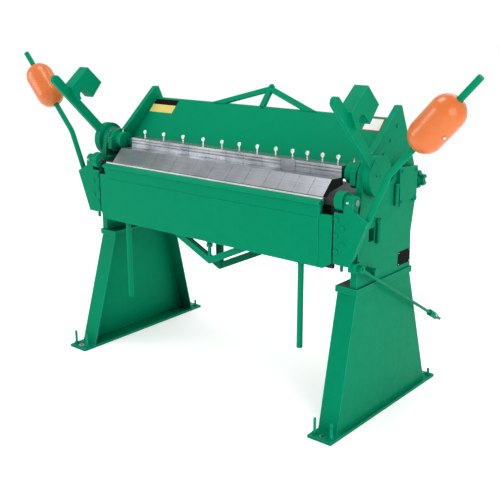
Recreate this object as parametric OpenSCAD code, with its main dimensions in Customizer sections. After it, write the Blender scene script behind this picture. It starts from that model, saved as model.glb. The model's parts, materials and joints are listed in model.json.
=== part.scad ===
// Hand-operated box-and-pan sheet metal brake.
// X runs along the bending edge, the operator stands on the -Y side, Z is up.
// The origin is on the floor, midway between the four anchor holes of the feet.

/* [Bending edge] */
// Width of each of the four wide fingers
wide_finger = 127; // [100:1:160]
// Width of each of the four medium fingers
medium_finger = 101.6; // [80:0.1:125]
// Width of each of the four narrow fingers
narrow_finger = 76.2; // [60:0.1:95]
// Height of the bending edge above the floor
bend_z = 938; // [860:1:1060]
// Distance of the bending edge in front of the middle of the feet
bend_reach = 252; // [248:1:300]
// Setback of the finger noses behind the bending edge
setback = 3; // [1:0.5:6]
// Steepness of the finger noses, degrees
nose_angle = 45; // [42:1:50]
// Length of the sloped nose face, measured level
nose_run = 59; // [45:1:62]

/* [Stand] */
// Length of each foot plate, front to back
foot_l = 846; // [780:1:1000]
// Width of each foot plate
foot_w = 112; // [105:1:140]
// Thickness of the foot plates
foot_t = 12; // [8:1:16]
// Depth of the leg channel along X
leg_d = 90; // [70:1:96]
// Length of the leg channel at the floor
leg_bottom_l = 714; // [640:1:760]
// Length of the leg channel at its top
leg_top_l = 412; // [380:1:440]
// Wall of the leg channel
leg_wall = 6; // [4:1:10]
// Height of the cap plate that the end frames stand on
stand_h = 580; // [480:1:640]
// Drop of the cap's rim
cap_rim = 26; // [16:1:40]
// Outward lean of the legs, degrees
leg_lean = 2.4; // [0:0.1:3]
// Radius of the four anchor holes
anchor_r = 7; // [6:0.5:9]

/* [End frames] */
// Thickness of the end frames
frame_t = 30; // [20:1:40]
// Radius of the clamp shaft's journal
shaft_r = 22; // [16:1:26]
// Height of the clamp shaft above the bending edge
shaft_up = 84; // [70:1:100]
// Distance of the clamp shaft behind the bending edge
shaft_back = 129; // [115:1:145]
// Throw of the clamping eccentric
throw = 16; // [8:1:18]

/* [Bending leaf] */
// Thickness of the bending leaf's front plate
apron_t = 16; // [10:1:20]
// Height of the bending leaf
apron_h = 277; // [220:1:330]
// Distance of the leaf's front face before the bending edge
nose_bar_d = 26; // [20:1:30]
// Width of the hardened nose bar's edge
nose_bar_w = 12; // [8:1:16]
// Thickness of the wings
wing_t = 38; // [30:1:44]
// Radius of the hinge pins
pin_r = 12; // [8:1:16]
// Radius of the pull bars and balance rods
bar_r = 12.5; // [8:0.5:14]
// Length of each pull bar below the bending leaf
pull_bar_l = 375; // [250:1:480]
// Distance of each pull bar from the middle
pull_bar_x = 512; // [300:1:560]
// Radius of the balance weights
weight_r = 67; // [45:1:75]
// Length of the balance weights
weight_l = 242; // [180:1:260]
// Length of the balance rods beyond their bend
rod_l = 493; // [480:1:560]

/* [Clamp handles] */
// Length of each clamp handle from its hub
handle_l = 452; // [420:1:560]
// Width of each clamp handle's bar
handle_w = 42; // [30:1:50]
// Radius of each clamp handle's hub
hub_r = 80; // [70:1:86]

/* [Clearances] */
// Radial running clearance of shafts and pins
run_fit = 0.05; // [0.02:0.01:0.09]
// Gap between faces that slide past each other
slide_gap = 0.3; // [0.2:0.1:0.6]

/* [Hidden] */
$fn = 96;

// The row of fingers: four wide, four medium, four narrow.
widths = [for (w = [wide_finger, medium_finger, narrow_finger]) for (i = [1:4]) w];
function run_to(i) = i == 0 ? 0 : run_to(i - 1) + widths[i - 1];
row_half = run_to(12) / 2;

// Stations along X, worked out from the row of fingers outwards.
rail_x = [-row_half - 30, row_half + 8];   // nose bar and top rail
apron_half = row_half + 65;          // bending leaf's front plate
wing_in = apron_half + 8;            // wing, inner edge
leaf_in = row_half + 79;             // top leaf's end plates
leaf_t = 25;
leaf_out = leaf_in + leaf_t;
frame_in = leaf_out + 8;             // end frames
frame_out = frame_in + frame_t;
bracket_in = frame_in - 35;          // fixed hinge lug
lug_gap = 3;
ear_in = frame_in + lug_gap;         // wing's hinge lug
ear_out = ear_in + 42;
wing_out_low = frame_out + 8;
wing_out_high = frame_out + 82;
handle_in = frame_out + 5;
handle_t = 33;
stop_x = frame_out + 38;

// Stations in the side view, [Y, Z].
bend = [-bend_reach, bend_z];
shaft = bend + [shaft_back, shaft_up];
pivot = bend + [402, 8];
bed_gap = slide_gap;
bed_top = bend_z - bed_gap;
apron_front = -bend_reach - nose_bar_d;
apron_bottom = bend_z - apron_h;
wing_front = apron_front;
wing_back = wing_front + wing_t;
flange_back = -bend_reach + 20;
truss_w = 30;
frame_front = -bend_reach + 44;
frame_back = 212;
lug_r = 38;
ear_r = 26;

// Finger section, [Y, Z].
nose_y = -bend_reach + setback;
ridge = [nose_y + nose_run, bend_z + 2 + nose_run * tan(nose_angle)];
finger_wall = [-bend_reach + 129, -bend_reach + 142];
bar_y = [finger_wall[1] + slide_gap, finger_wall[1] + 38];
bar_z = [bend_z + 62, bend_z + 92];
finger_top = bar_z[1] + 12;
screw_y = (bar_y[0] + bar_y[1]) / 2;

// Sloped front plate of the top leaf.
slope = 47;
leaf_top = bend + [383, 273];
leaf_low = [bar_y[1] + 6, bar_z[0]];
apex = bend + [379, 328];

// Balance rods: they lie behind the wing's outer edge, then bend outwards above it.
wing_plate = 16;
rod_foot = [wing_out_low - 5.6, bend_z - 220];
rod_bend = [wing_out_high + 64, bend_z + 122];
rod_set = 2.5;
rod_y = wing_front + wing_plate + bar_r - rod_set;
rod_dir = [0.667, 0.745];
rod_angle = atan2(rod_dir[0], rod_dir[1]);
weight_fit = slide_gap;
left_weight_at = 287;
right_weight_at = 268;

// Bend-angle stop.
stop_eye = bend + [12, -260.75];
stop_guide = bend + [97, -310];
stop_lean = atan2(stop_eye[1] - stop_guide[1], stop_guide[0] - stop_eye[0]);
stop_r = 7;
stop_l = 800;
guide_r = 14;
guide_off = 16;
stop_collar_at = 716;
stop_pin_r = 6;
stop_eye_w = 18;

// Clamp handles.
handle_angle = 135;

module at_side(side) {
    if (side < 0) mirror([1, 0, 0]) children();
    else children();
}

// Extrudes a side-view outline, [Y, Z], from x0 to x1.
module slab_x(x0, x1) {
    translate([x0, 0, 0]) rotate([90, 0, 90]) linear_extrude(x1 - x0) children();
}

// Extrudes a front-view outline, [X, Z], from y0 to y1.
module slab_y(y0, y1) {
    translate([0, y1, 0]) rotate([90, 0, 0]) linear_extrude(y1 - y0) children();
}

module bar_x(x0, x1, r, at) {
    translate([x0, at[0], at[1]]) rotate([0, 90, 0]) cylinder(h = x1 - x0, r = r);
}

module bar_y(x, z, y0, y1, r) {
    translate([x, y1, z]) rotate([90, 0, 0]) cylinder(h = y1 - y0, r = r);
}

module box(lo, hi) {
    translate(lo) cube(hi - lo);
}

// A flat bar of width w bent to a V, its feet at +-half and its rounded point at the given height.
module vee(half, rise, w) {
    lean = atan2(abs(rise), half);
    side = [sin(lean), sign(rise) * cos(lean)] * w / 2;
    foot = w / 2 / sin(lean);
    point = [0, rise];
    for (m = [0, 1]) mirror([m, 0])
        polygon([point + side, [half + foot, 0], [half - foot, 0], point - side]);
    translate(point) circle(r = w / 2);
}

leg_top = stand_h - foot_t;
cap_half = leg_top_l / 2 + 10;
leg_out_top = frame_out + 1;
foot_in = leg_out_top - leg_d + 19;
foot_out = foot_in + foot_w;

module leg_outline(shrink) {
    slope_out = (leg_bottom_l - leg_top_l) / 2 / leg_top;
    top = leg_top_l / 2 - shrink;
    low = leg_bottom_l / 2 - shrink;
    over = 20;
    polygon([
        [-low - over * slope_out, -over], [low + over * slope_out, -over],
        [top - over * slope_out, leg_top + over], [-top + over * slope_out, leg_top + over]
    ]);
}

module leg(side) {
    color("#009265") at_side(side) {
        difference() {
            translate([leg_out_top, 0, leg_top]) rotate([0, -leg_lean, 0])
                translate([-leg_out_top, 0, -leg_top]) difference() {
                    slab_x(leg_out_top - leg_d, leg_out_top) leg_outline(0);
                    slab_x(leg_out_top - leg_d - 1, leg_out_top - leg_wall) leg_outline(leg_wall);
                }
            box([0, -foot_l, -foot_l], [2 * foot_out, foot_l, foot_t / 2]);
            box([0, -foot_l, stand_h - foot_t / 2], [2 * foot_out, foot_l, stand_h + foot_l]);
        }
        difference() {
            box([foot_in, -foot_l / 2, 0], [foot_out, foot_l / 2, foot_t]);
            for (y = [-1, 1]) {
                translate([anchor_x, y * anchor_y, -1]) cylinder(h = foot_t + 2, r = anchor_r);
                for (x = [foot_in + 16, foot_out - 16])
                    translate([x, y * level_y, -1]) cylinder(h = foot_t + 2, r = level_r);
            }
        }
        difference() {
            box([leg_out_top - leg_d - 6, -cap_half, stand_h - cap_rim],
                [leg_out_top + 7, cap_half, stand_h]);
            box([leg_out_top - leg_d - 7, -cap_half + 7, stand_h - cap_rim - 1],
                [leg_out_top, cap_half - 7, stand_h - foot_t]);
        }
    }
}

anchor_x = (foot_in + foot_out) / 2;
anchor_y = foot_l / 2 - 26;
level_y = foot_l / 2 - 28;
level_r = 6;

module levelling_screws() {
    color("#009265")
        for (side = [-1, 1]) for (y = [-1, 1]) for (x = [foot_in + 16, foot_out - 16])
            translate([side * x, y * level_y, 0]) {
                cylinder(h = y < 0 ? 80 : 46, r = level_r);
                translate([0, 0, foot_t]) cylinder(h = 9, r = level_r * 1.9, $fn = 6);
            }
}

block_half = 40;
window_back = 50;

module end_frame(side) {
    color("#009265") at_side(side) {
        difference() {
            union() {
                slab_x(frame_in, frame_out) polygon([
                    [frame_front, stand_h], [frame_back, stand_h],
                    [frame_back - 8, bend_z - 200], pivot + [80, -70], pivot + [88, 66],
                    pivot + [-84, 66], [pivot[0] - 150, bend_z + 20], shaft + [52, 34],
                    shaft + [-20, 58], shaft + [-60, 14], [frame_front, bend_z - 90]
                ]);
                bar_x(frame_in, frame_out, 62, shaft);
                slab_x(frame_out, frame_out + 16) polygon([
                    pivot + [-86, 82], pivot + [58, 70], pivot + [58, -76], pivot + [44, -76],
                    pivot + [34, -62], pivot + [-30, -62], pivot + [-40, -80], pivot + [-76, -80]
                ]);
            }
            bar_x(frame_in - 1, frame_out + 1, shaft_r + run_fit, shaft);
            box([frame_in - 1, pivot[0] - block_half - 5, pivot[1] - block_half - slide_gap],
                [frame_out, pivot[0] + window_back, pivot[1] + block_half + slide_gap]);
            bar_y((frame_in + frame_out) / 2, pivot[1], pivot[0], pivot[0] + 200, 8 + run_fit);
            box([frame_in - 1, frame_front + 76, bend_z - 182],
                [frame_out + 1, frame_front + 117, bend_z - 129]);
        }
        if (side > 0)
            bar_x(frame_out - 1, stop_x + 10, guide_r, stop_guide + [guide_off, guide_off]);
    }
}

bed_back = 70;
bed_t = 26;
beam_low = bend_z - 238;

module bed_beam() {
    y0 = -bend_reach + 30;
    v_half = 380;
    color("#007a55") {
        difference() {
            union() {
                box([-frame_in, y0, beam_low], [frame_in, y0 + 16, bed_top - bed_t]);
                box([-frame_in, y0, bed_top - bed_t - 14], [frame_in, bed_back, bed_top - bed_t]);
                box([-frame_in, y0, beam_low], [frame_in, y0 + 90, beam_low + 14]);
            }
            for (side = [-1, 1]) at_side(side)
                box([bracket_in, -bend_reach - 40, bend_z - 48], [frame_in + 1, bracket_back, bend_z]);
        }
        translate([0, 0, beam_low]) slab_y(y0 + 46, y0 + 58) vee(v_half, -178, 30);
        box([-14, y0 + 40, beam_low - 178], [14, y0 + 64, beam_low]);
    }
}

bracket_back = -bend_reach + 104;

module bed_plate() {
    color("#26262a") difference() {
        box([-frame_in, -bend_reach + bed_gap, bed_top - bed_t], [frame_in, bed_back, bed_top]);
        for (side = [-1, 1]) at_side(side)
            box([bracket_in, -bend_reach - 1, bed_top - bed_t - 1],
                [frame_in + 1, bracket_back, bed_top + 1]);
    }
}

module hinge_bracket(side) {
    color("#009265") at_side(side) difference() {
        union() {
            bar_x(bracket_in, frame_in, lug_r, bend);
            box([bracket_in, bend[0], bend_z - 42], [frame_in, bracket_back, bend_z + 14]);
        }
        bar_x(bracket_in - 1, frame_in + 1, pin_r, bend);
    }
}

module hinge_pins() {
    color("#8d9094") for (side = [-1, 1]) at_side(side)
        bar_x(bracket_in, ear_out + 4, pin_r, bend);
}

module pivot_block(side) {
    color("#009265") at_side(side) {
        difference() {
            box([frame_in + slide_gap, pivot[0] - block_half, pivot[1] - block_half],
                [frame_out - slide_gap, pivot[0] + block_half, pivot[1] + block_half]);
            bar_y((frame_in + frame_out) / 2, pivot[1], pivot[0] - 10, pivot[0] + 60, 8 + run_fit);
        }
        bar_x(leaf_in, frame_in + slide_gap + 1, 18, pivot);
    }
}

knob_y = pivot[0] + 112;

module setback_screw(side) {
    x = (frame_in + frame_out) / 2;
    color("#009265") at_side(side) {
        bar_y(x, pivot[1], pivot[0], knob_y + 20, 8);
        difference() {
            bar_y(x, pivot[1], knob_y, knob_y + 24, 37);
            for (a = [30:60:330])
                bar_y(x + 41 * sin(a), pivot[1] + 41 * cos(a), knob_y - 1, knob_y + 25, 13);
        }
        bar_y(x, pivot[1], knob_y - 14, knob_y, 16);
    }
}

rail_d = 12;
nose_back = -bend_reach - 0.5;
nose_front = nose_back - nose_bar_w + 0.5;

module bending_leaf() {
    notch = 60;
    low = 28;
    color("#009265") {
        slab_y(apron_front, apron_front + apron_t) polygon([
            [-apron_half + 40, apron_bottom], [apron_half - 40, apron_bottom],
            [apron_half, apron_bottom + low], [apron_half, bend_z - notch],
            [rail_x[1] - 1, bend_z - notch], [rail_x[1] - 1, bend_z - 20],
            [rail_x[0] + 5, bend_z - 20], [rail_x[0] + 5, bend_z - notch],
            [-apron_half, bend_z - notch], [-apron_half, apron_bottom + low]
        ]);
        slab_x(rail_x[0], rail_x[1]) polygon([
            [apron_front + 1, bend_z - 26], [apron_front - rail_d, bend_z - 22],
            [apron_front - rail_d, bend_z - 14], [apron_front - rail_d + 2, bend_z - 12],
            [nose_front, bend_z - 5], [nose_front, bend_z - 12], [nose_back, bend_z - 12],
            [nose_back, bend_z - 30], [apron_front + apron_t - 1, bend_z - 30],
            [apron_front + apron_t - 1, bend_z - 46], [apron_front + 1, bend_z - 46]
        ]);
        box([-apron_half + 60, apron_front + apron_t - 1, apron_bottom],
            [apron_half - 60, flange_back, apron_bottom + 10]);
    }
}

module nose_bar() {
    color("#b9bdc2")
        box([rail_x[0], nose_front, bend_z - 12], [rail_x[1], nose_back, bed_top]);
}

wing_top_in = bend_z - lug_r - 6;
wing_low = apron_bottom + 30;
bolt_rows = [for (i = [0:4]) [wing_in + (i % 2 == 0 ? 10 : 39), bend_z - 70 - 32 * i]];
bolt_r = 8;

module wing(side) {
    color("#009265") at_side(side) difference() {
        union() {
            slab_y(wing_front, wing_back) polygon([
                [wing_in, wing_low], [wing_in, wing_top_in], [ear_in, wing_top_in],
                [ear_in, bend_z - 8], [ear_out, bend_z - 8], [ear_out, bend_z - 33],
                [frame_out - 30, wing_low - 4], [wing_in + 20, wing_low - 4]
            ]);
            slab_y(wing_front, wing_front + wing_plate) polygon([
                [wing_in + 20, wing_low - 4], [wing_in + 20, wing_top_in - 20],
                [ear_out - 10, bend_z - 60], [ear_out, bend_z - 28],
                [wing_out_high, bend_z - 62], [wing_out_low, wing_low - 4]
            ]);
            bar_x(ear_in, ear_out, ear_r, bend);
            slab_y(apron_front + apron_t + 1, wing_back) polygon([
                [apron_half - 30, wing_low + 20], [apron_half - 30, wing_top_in - 20],
                [wing_in + 1, wing_top_in - 20], [wing_in + 1, wing_low + 20]
            ]);
            if (side > 0) {
                box([stop_x - 42, wing_front + wing_plate - 8, stop_eye[1] - 12],
                    [stop_x - stop_eye_w / 2 - 1, stop_eye[0] + 13, stop_eye[1] + 24]);
                bar_x(stop_x - 14, stop_x + stop_eye_w / 2 + 5, stop_pin_r, stop_eye);
            }
        }
        bar_x(ear_in - 1, ear_out + 1, pin_r + run_fit, bend);
        translate([rod_foot[0], rod_y, rod_foot[1]]) rotate([0, lower_angle, 0])
            cylinder(h = lower_l, r = bar_r);
        for (b = bolt_rows) bar_y(b[0], b[1], wing_front - 1, wing_back + 1, bolt_r);
    }
}

module wing_bolts() {
    color("#009265") for (side = [-1, 1]) at_side(side) for (b = bolt_rows) {
        bar_y(b[0], b[1], wing_front, wing_back, bolt_r);
        bar_y(b[0], b[1], wing_front - 7, wing_front, bolt_r + 3);
        bar_y(b[0], b[1], wing_back, wing_back + 8, bolt_r + 4, $fn = 6);
    }
}

module pull_bar(side) {
    y = wing_back - 12;
    color("#009265") translate([side * pull_bar_x, y, apron_bottom - pull_bar_l])
        cylinder(h = pull_bar_l, r = bar_r);
}

module leaf_truss() {
    y0 = flange_back - 11;
    color("#009265") {
        translate([0, 0, apron_bottom]) slab_y(y0, y0 + 10) vee(210, -98, truss_w);
        translate([0, y0 + 5, apron_bottom - 90]) cylinder(h = 90, r = 7.5);
        translate([0, y0 + 5, apron_bottom - 34]) cylinder(h = 14, r = 15, $fn = 6);
        translate([0, y0 + 5, apron_bottom - 14]) cylinder(h = 14, r = 15, $fn = 6);
    }
}

lower_angle = atan2(rod_bend[0] - rod_foot[0], rod_bend[1] - rod_foot[1]);
lower_l = norm(rod_bend - rod_foot);

module balance_rod(side) {
    bend_r = bar_r + 1.2;
    color("#009265") at_side(side) translate([rod_bend[0], rod_y, rod_bend[1]]) {
        rotate([0, lower_angle, 0]) translate([0, 0, -lower_l])
            cylinder(h = lower_l, r = bar_r);
        sphere(r = bend_r);
        rotate([0, rod_angle, 0]) cylinder(h = rod_l, r = bar_r);
    }
}

module weight(side, at) {
    half = weight_l / 2 - weight_r;
    color("#eb8c3c") at_side(side) translate([rod_bend[0], rod_y, rod_bend[1]])
        rotate([0, rod_angle, 0]) translate([0, 0, at]) difference() {
            union() {
                cylinder(h = 2 * half, r = weight_r, center = true);
                for (z = [-half, half]) translate([0, 0, z]) sphere(r = weight_r);
            }
            cylinder(h = weight_l + 2, r = bar_r + weight_fit, center = true);
        }
}

block_x = [handle_in - 14, handle_in + 46];

// The handle is drawn along +X in its own plane and then turned into place.
module clamp_handle(side) {
    n0 = handle_l - 172;
    color("#009265") at_side(side) difference() {
        union() {
            bar_x(handle_in, handle_in + handle_t, hub_r, shaft);
            translate([handle_in + 8, shaft[0], shaft[1]]) rotate([90, 0, 90])
                rotate(handle_angle) linear_extrude(20) {
                    polygon([[0, -handle_w / 2], [handle_l - handle_w / 2, -handle_w / 2],
                             [handle_l - handle_w / 2, handle_w / 2], [0, handle_w / 2]]);
                    translate([handle_l - handle_w / 2, 0]) circle(r = handle_w / 2);
                }
            translate([block_x[0], shaft[0], shaft[1]]) rotate([90, 0, 90])
                rotate(handle_angle) linear_extrude(block_x[1] - block_x[0]) difference() {
                    polygon([
                        [n0 + 80, 2 - handle_w / 2], [n0 + 67, -154], [n0 - 42, -158],
                        [n0 - 48, -69], [n0, -69], [n0, 2 - handle_w / 2], [n0 + 2, 0]
                    ]);
                    translate([n0, -45]) circle(r = 24);
                }
        }
        bar_x(handle_in - 1, handle_in + 22, shaft_r, shaft);
    }
}

lobe_r = 24;

module clamp_shaft(side) {
    color("#8d9094") at_side(side) {
        bar_x(leaf_out + 2, handle_in + 22, shaft_r, shaft);
        bar_x(leaf_out - 14, leaf_out + 6, lobe_r, shaft - [0, throw]);
    }
}

boss_in = leaf_in - 39;
boss_r = 42;
pocket_y = [-lobe_r - throw - 13, lobe_r + 5];

module top_leaf_end(side) {
    color("#009265") at_side(side) {
        difference() {
            union() {
                slab_x(leaf_in, leaf_out) polygon([
                    apex, apex + [21, 0], pivot + [125, 64], pivot + [112, 39], pivot + [12, -1],
                    pivot + [-40, -1], shaft + [70, -46], shaft + [0, -52], shaft + [-50, -48],
                    shaft + [-62, -37], shaft + [-60, 18], shaft + [36, 54]
                ]);
                bar_x(leaf_in, leaf_out, lug_r, pivot);
                bar_x(leaf_in, leaf_out, 55, shaft);
                bar_x(boss_in, leaf_in, boss_r, shaft);
            }
            bar_x(leaf_in - 1, leaf_out + 1, 18 + run_fit, pivot);
            box([leaf_out - 15, shaft[0] + pocket_y[0], shaft[1] - throw - lobe_r - 5],
                [leaf_out + 1, shaft[0] + pocket_y[1], shaft[1] - throw + lobe_r + 5]);
        }
    }
}

module top_leaf() {
    plate = 12;
    run = (leaf_top[1] - leaf_low[1]) / tan(slope);
    low_y = leaf_top[0] - run;
    color("#009265") {
        difference() {
            slab_x(-leaf_in, leaf_in) polygon([
                leaf_top, leaf_top + [20, 0], leaf_top + [20, -12], leaf_top + [16, -14],
                [low_y + 16, leaf_low[1]], [low_y + 16, leaf_low[1] - plate],
                [bar_y[0] + 4, leaf_low[1] - plate], [bar_y[0] + 4, leaf_low[1]], [low_y, leaf_low[1]]
            ]);
            for (m = [-1, 1]) at_side(m)
                bar_x(boss_in - slide_gap, leaf_in + 1, boss_r + slide_gap, shaft);
        }
        translate([0, leaf_top[0] + 4, leaf_top[1] - 6]) rotate([51, 0, 0]) linear_extrude(12)
            vee(270, 100, 26);
        translate([0, leaf_top[0] + 4, leaf_top[1] - 6]) rotate([51, 0, 0])
            box([-12, 0, -4], [12, 92, 16]);
    }
}

module finger_bar() {
    color("#009265") box([-boss_in, bar_y[0], bar_z[0]], [boss_in, bar_y[1], bar_z[1]]);
}

function finger_x(i) = run_to(i - 1) - row_half;
function finger_mid(i) = finger_x(i) + widths[i - 1] / 2;

module finger(i) {
    side_gap = 0.2;
    groove = 2.5;
    y0 = finger_wall[0];
    y1 = finger_wall[1];
    color("#aab0b6") difference() {
        slab_x(finger_x(i) + side_gap, finger_x(i) + widths[i - 1] - side_gap) polygon([
            [nose_y, bend_z + bed_gap], [nose_y, bend_z + 2], ridge, [y0, ridge[1] - 3],
            [y0, finger_top - 28], [y0 + groove, finger_top - 27], [y0 + groove, finger_top - 25],
            [y0, finger_top - 24], [y0, finger_top - 15], [y0 + groove, finger_top - 14],
            [y0 + groove, finger_top - 12], [y0, finger_top - 11], [y0, finger_top],
            [bar_y[1] + 5, finger_top], [bar_y[1] + 5, bar_z[1] - 16],
            [bar_y[1] + slide_gap, bar_z[1] - 16], [bar_y[1] + slide_gap, bar_z[1] + slide_gap],
            [y1, bar_z[1] + slide_gap], [y1, bend_z + 27],
            [nose_y + 44, bend_z + 10], [nose_y + 34, bend_z + bed_gap]
        ]);
        translate([finger_mid(i), screw_y, bar_z[1] - 1])
            cylinder(h = 20, r = 4 + run_fit);
    }
}

module finger_screw(i) {
    head_z = finger_top + 28;
    color("#c9ccd0") translate([finger_mid(i), screw_y, 0]) {
        translate([0, 0, bar_z[1] + slide_gap]) cylinder(h = head_z - bar_z[1] - 6, r = 4);
        difference() {
            bar_y(0, head_z, -2.5, 2.5, 9.5);
            bar_y(0, head_z, -3, -1.5, 6);
            bar_y(0, head_z, 1.5, 3, 6);
        }
    }
}

// Along the stop rod: from its eye, down and back through the guide.
module along_stop(at) {
    translate([stop_x, stop_eye[0], stop_eye[1]]) rotate([-90 - stop_lean, 0, 0])
        translate([0, 0, at]) children();
}

module stop_rod() {
    color("#009265") {
        difference() {
            union() {
                along_stop(12) cylinder(h = stop_l - 12, r = stop_r);
                bar_x(stop_x - stop_eye_w / 2, stop_x + stop_eye_w / 2, 15, stop_eye);
            }
            bar_x(stop_x - stop_eye_w, stop_x + stop_eye_w, stop_pin_r + run_fit, stop_eye);
        }
    }
}

module stop_collar() {
    color("#009265") along_stop(stop_collar_at - 36) difference() {
        cylinder(h = 72, r = 15);
        translate([0, 0, -1]) cylinder(h = 74, r = stop_r);
    }
}

leg(-1);  // leg_left
leg(1);  // leg_right
levelling_screws();
end_frame(-1);  // end_frame_left
end_frame(1);  // end_frame_right
bed_beam();
bed_plate();
hinge_bracket(-1);  // hinge_bracket_left
hinge_bracket(1);  // hinge_bracket_right
hinge_pins();
pivot_block(-1);  // pivot_block_left
pivot_block(1);  // pivot_block_right
setback_screw(-1);  // setback_screw_left
setback_screw(1);  // setback_screw_right
bending_leaf();
nose_bar();
wing(-1);  // wing_left
wing(1);  // wing_right
wing_bolts();
pull_bar(-1);  // pull_bar_left
pull_bar(1);  // pull_bar_right
leaf_truss();
balance_rod(-1);  // balance_rod_left
balance_rod(1);  // balance_rod_right
weight(-1, left_weight_at);  // weight_left
weight(1, right_weight_at);  // weight_right
clamp_handle(-1);  // clamp_handle_left
clamp_handle(1);  // clamp_handle_right
clamp_shaft(-1);  // clamp_shaft_left
clamp_shaft(1);  // clamp_shaft_right
top_leaf();
top_leaf_end(-1);  // top_leaf_end_left
top_leaf_end(1);  // top_leaf_end_right
finger_bar();
stop_rod();
stop_collar();
finger(1);  // finger_01
finger(2);  // finger_02
finger(3);  // finger_03
finger(4);  // finger_04
finger(5);  // finger_05
finger(6);  // finger_06
finger(7);  // finger_07
finger(8);  // finger_08
finger(9);  // finger_09
finger(10);  // finger_10
finger(11);  // finger_11
finger(12);  // finger_12
finger_screw(1);  // finger_screw_01
finger_screw(2);  // finger_screw_02
finger_screw(3);  // finger_screw_03
finger_screw(4);  // finger_screw_04
finger_screw(5);  // finger_screw_05
finger_screw(6);  // finger_screw_06
finger_screw(7);  // finger_screw_07
finger_screw(8);  // finger_screw_08
finger_screw(9);  // finger_screw_09
finger_screw(10);  // finger_screw_10
finger_screw(11);  // finger_screw_11
finger_screw(12);  // finger_screw_12
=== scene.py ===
"""Looks for a hand-operated box-and-pan sheet metal brake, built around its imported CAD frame."""

import json
import logging
import math
from dataclasses import dataclass, field
from enum import Enum

import bmesh
import bpy
from mathutils import Matrix, Vector


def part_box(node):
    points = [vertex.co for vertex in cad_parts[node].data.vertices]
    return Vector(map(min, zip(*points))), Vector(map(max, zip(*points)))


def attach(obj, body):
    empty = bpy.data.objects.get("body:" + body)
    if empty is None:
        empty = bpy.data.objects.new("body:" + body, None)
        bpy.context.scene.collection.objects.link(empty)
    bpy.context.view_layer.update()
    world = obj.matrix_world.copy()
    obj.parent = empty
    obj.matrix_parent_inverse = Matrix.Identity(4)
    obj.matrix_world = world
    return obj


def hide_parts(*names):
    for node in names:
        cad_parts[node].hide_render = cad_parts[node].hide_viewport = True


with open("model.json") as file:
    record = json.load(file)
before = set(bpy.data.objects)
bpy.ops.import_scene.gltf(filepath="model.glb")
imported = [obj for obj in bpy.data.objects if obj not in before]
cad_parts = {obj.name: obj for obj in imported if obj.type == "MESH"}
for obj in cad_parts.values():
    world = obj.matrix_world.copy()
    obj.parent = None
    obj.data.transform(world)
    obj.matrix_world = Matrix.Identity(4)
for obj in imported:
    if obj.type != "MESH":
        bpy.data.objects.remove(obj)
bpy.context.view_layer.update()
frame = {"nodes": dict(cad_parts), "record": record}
NODES = frame["nodes"]
BODY_OF = {n: b for b, ns in frame["record"]["behaviour"]["bodies"].items() for n in ns}
SLOT_OF = {s["node"]: s["material_slot"] for s in frame["record"]["subparts"]}
JOINTS = {j["name"]: j for j in frame["record"]["behaviour"]["joints"]}
LOG = logging.getLogger("brake")

# Stations in metres. All but the housing's depth are read from the frame.
SHAFT = Vector(JOINTS["clamp_right_swing"]["pos_m"])
HINGE = Vector(JOINTS["apron_swing"]["pos_m"])
HOUSING_DEPTH = 0.016
HOUSING_FACE = -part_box("end_frame_left")[0].x
FRAME_OUT = HOUSING_FACE - HOUSING_DEPTH
FRAME_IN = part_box("hinge_bracket_right")[1].x
LEAF_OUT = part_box("top_leaf_end_right")[1].x


class Side(Enum):
    """Which end of the machine a piece belongs to."""

    LEFT = -1
    RIGHT = 1

    @property
    def word(self) -> str:
        """The side's name as the nodes spell it."""
        return self.name.lower()


class Axis(Enum):
    """The direction a turned piece points along."""

    X = (1.0, 0.0, 0.0)
    Y = (0.0, 1.0, 0.0)
    Z = (0.0, 0.0, 1.0)

    @property
    def unit(self) -> Vector:
        """The direction as a vector of length 1."""
        return Vector(self.value)


# ---------------------------------------------------------------- node graphs


class Graph:
    """A short way to write a node tree."""

    def __init__(self, tree: bpy.types.NodeTree) -> None:
        """Wraps a node tree.

        Args:
            tree: the tree that gets the nodes.
        """
        self.tree = tree

    def add(self, kind: str, inputs: dict | None = None, **props: object) -> bpy.types.Node:
        """Adds a node.

        Args:
            kind: the node type without its ShaderNode prefix.
            inputs: socket name or number to a value, or to a socket to link from.
            props: attributes to set on the node.

        Returns:
            The new node.
        """
        node = self.tree.nodes.new("ShaderNode" + kind)
        for name, value in props.items():
            setattr(node, name, value)
        for key, value in (inputs or {}).items():
            if isinstance(value, bpy.types.NodeSocket):
                self.tree.links.new(value, node.inputs[key])
            else:
                node.inputs[key].default_value = value
        return node

    def math(self, op: str, a: object, b: object = 0.0, clamp: bool = False) -> bpy.types.NodeSocket:
        """Adds a Math node.

        Args:
            op: the operation's name.
            a: first value or socket.
            b: second value or socket.
            clamp: keeps the result between 0 and 1.

        Returns:
            The result socket.
        """
        return self.add("Math", {0: a, 1: b}, operation=op, use_clamp=clamp).outputs[0]

    def spread(self, value: object, lo: float, hi: float, out: tuple[float, float]) -> bpy.types.NodeSocket:
        """Maps a value's range onto another, smoothly and clamped.

        Args:
            value: the socket to map.
            lo: the value that gives the first result.
            hi: the value that gives the second result.
            out: the two results.

        Returns:
            The result socket.
        """
        keys = {0: value, 1: lo, 2: hi, 3: out[0], 4: out[1]}
        return self.add("MapRange", keys, interpolation_type="SMOOTHSTEP").outputs[0]

    def blend(self, factor: object, a: object, b: object) -> bpy.types.NodeSocket:
        """Mixes two colours.

        Args:
            factor: share of the second colour.
            a: first colour or socket.
            b: second colour or socket.

        Returns:
            The colour socket.
        """
        node = self.add("Mix", data_type="RGBA")
        for key, value in ((0, factor), (6, a), (7, b)):
            if isinstance(value, bpy.types.NodeSocket):
                self.tree.links.new(value, node.inputs[key])
            else:
                node.inputs[key].default_value = value
        return node.outputs[2]


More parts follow.
